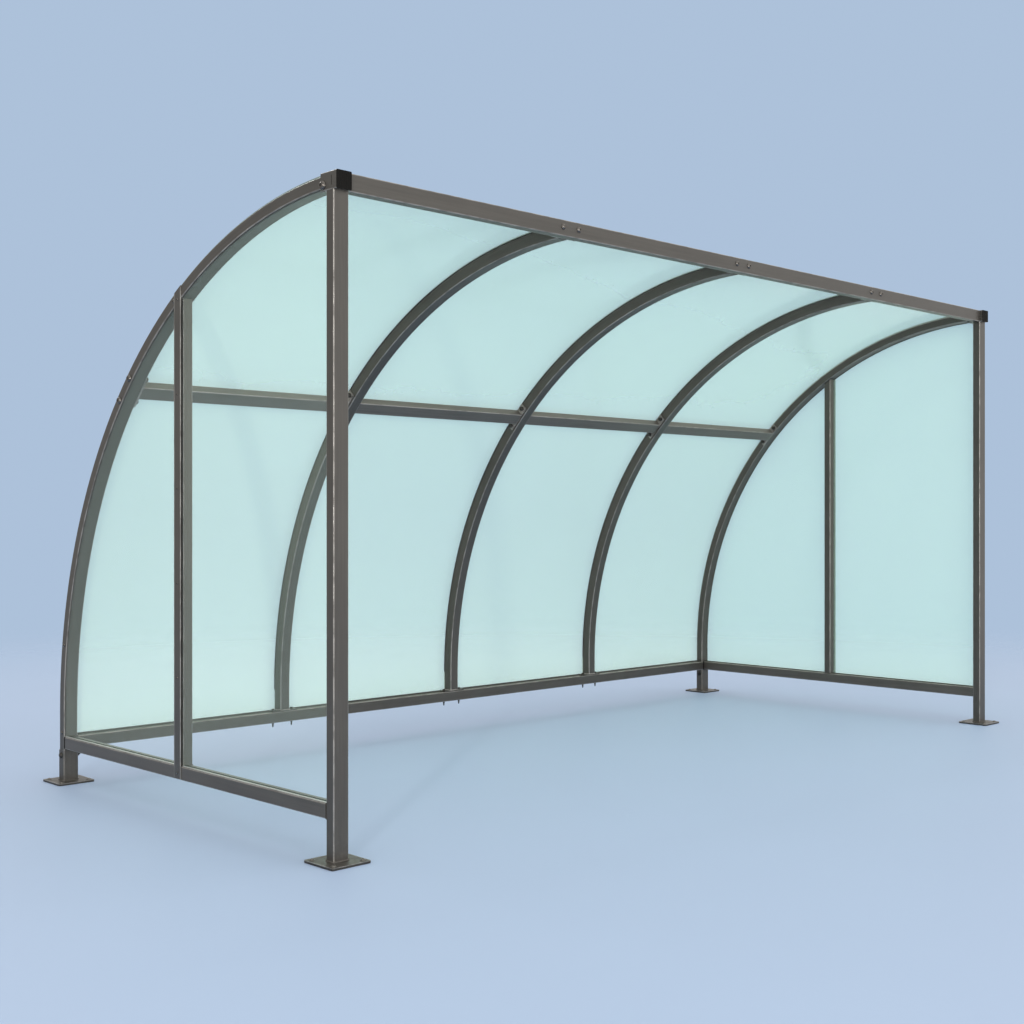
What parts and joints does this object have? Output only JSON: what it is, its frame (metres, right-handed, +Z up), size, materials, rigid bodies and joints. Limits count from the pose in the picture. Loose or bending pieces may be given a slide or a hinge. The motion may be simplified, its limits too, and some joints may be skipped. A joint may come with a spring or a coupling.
{
  "type": "bike shelter",
  "caption": "Open-fronted bike shelter with a painted steel tube frame, a quarter-round back and roof of clear bent sheet, glazed ends and bolt-down feet.",
  "frame": {"origin": "on the ground, in the middle of the rectangle round the base plates", "axes": "+X along the shelter, to the right seen from its open front; +Y to the back; +Z up; the open front faces -Y"},
  "size_m": [4.395, 2.015, 2.2],
  "materials": {
    "frame_paint": "satin gunmetal powder coat",
    "clear_sheet": "clear sheet with a pale blue-green tint",
    "black_plastic": "moulded black plastic"
  },
  "bodies": {
    "root": {"front_left_base_plate": "frame_paint", "front_right_base_plate": "frame_paint", "rear_left_base_plate": "frame_paint", "rear_right_base_plate": "frame_paint", "front_left_post": "frame_paint", "front_right_post": "frame_paint", "rear_left_sleeve": "frame_paint", "rear_right_sleeve": "frame_paint", "left_end_arch": "frame_paint", "right_end_arch": "frame_paint", "middle_arch_1": "frame_paint", "middle_arch_2": "frame_paint", "middle_arch_3": "frame_paint", "arch_foot_plates": "frame_paint", "arch_head_plates": "frame_paint", "header_beam": "frame_paint", "left_corner_socket": "frame_paint", "right_corner_socket": "frame_paint", "left_end_plug": "black_plastic", "right_end_plug": "black_plastic", "rear_bottom_rail": "frame_paint", "left_bottom_rail": "frame_paint", "right_bottom_rail": "frame_paint", "purlin_1": "frame_paint", "purlin_2": "frame_paint", "purlin_3": "frame_paint", "purlin_4": "frame_paint", "purlin_end_plates": "frame_paint", "left_mullion": "frame_paint", "right_mullion": "frame_paint", "left_mullion_strip": "frame_paint", "right_mullion_strip": "frame_paint", "left_front_panel": "clear_sheet", "left_rear_panel": "clear_sheet", "right_front_panel": "clear_sheet", "right_rear_panel": "clear_sheet", "roof_sheet_1": "clear_sheet", "roof_sheet_2": "clear_sheet", "roof_sheet_3": "clear_sheet", "roof_sheet_4": "clear_sheet", "left_roof_strip": "frame_paint", "right_roof_strip": "frame_paint", "middle_roof_strips": "frame_paint"}
  },
  "joints": []
}
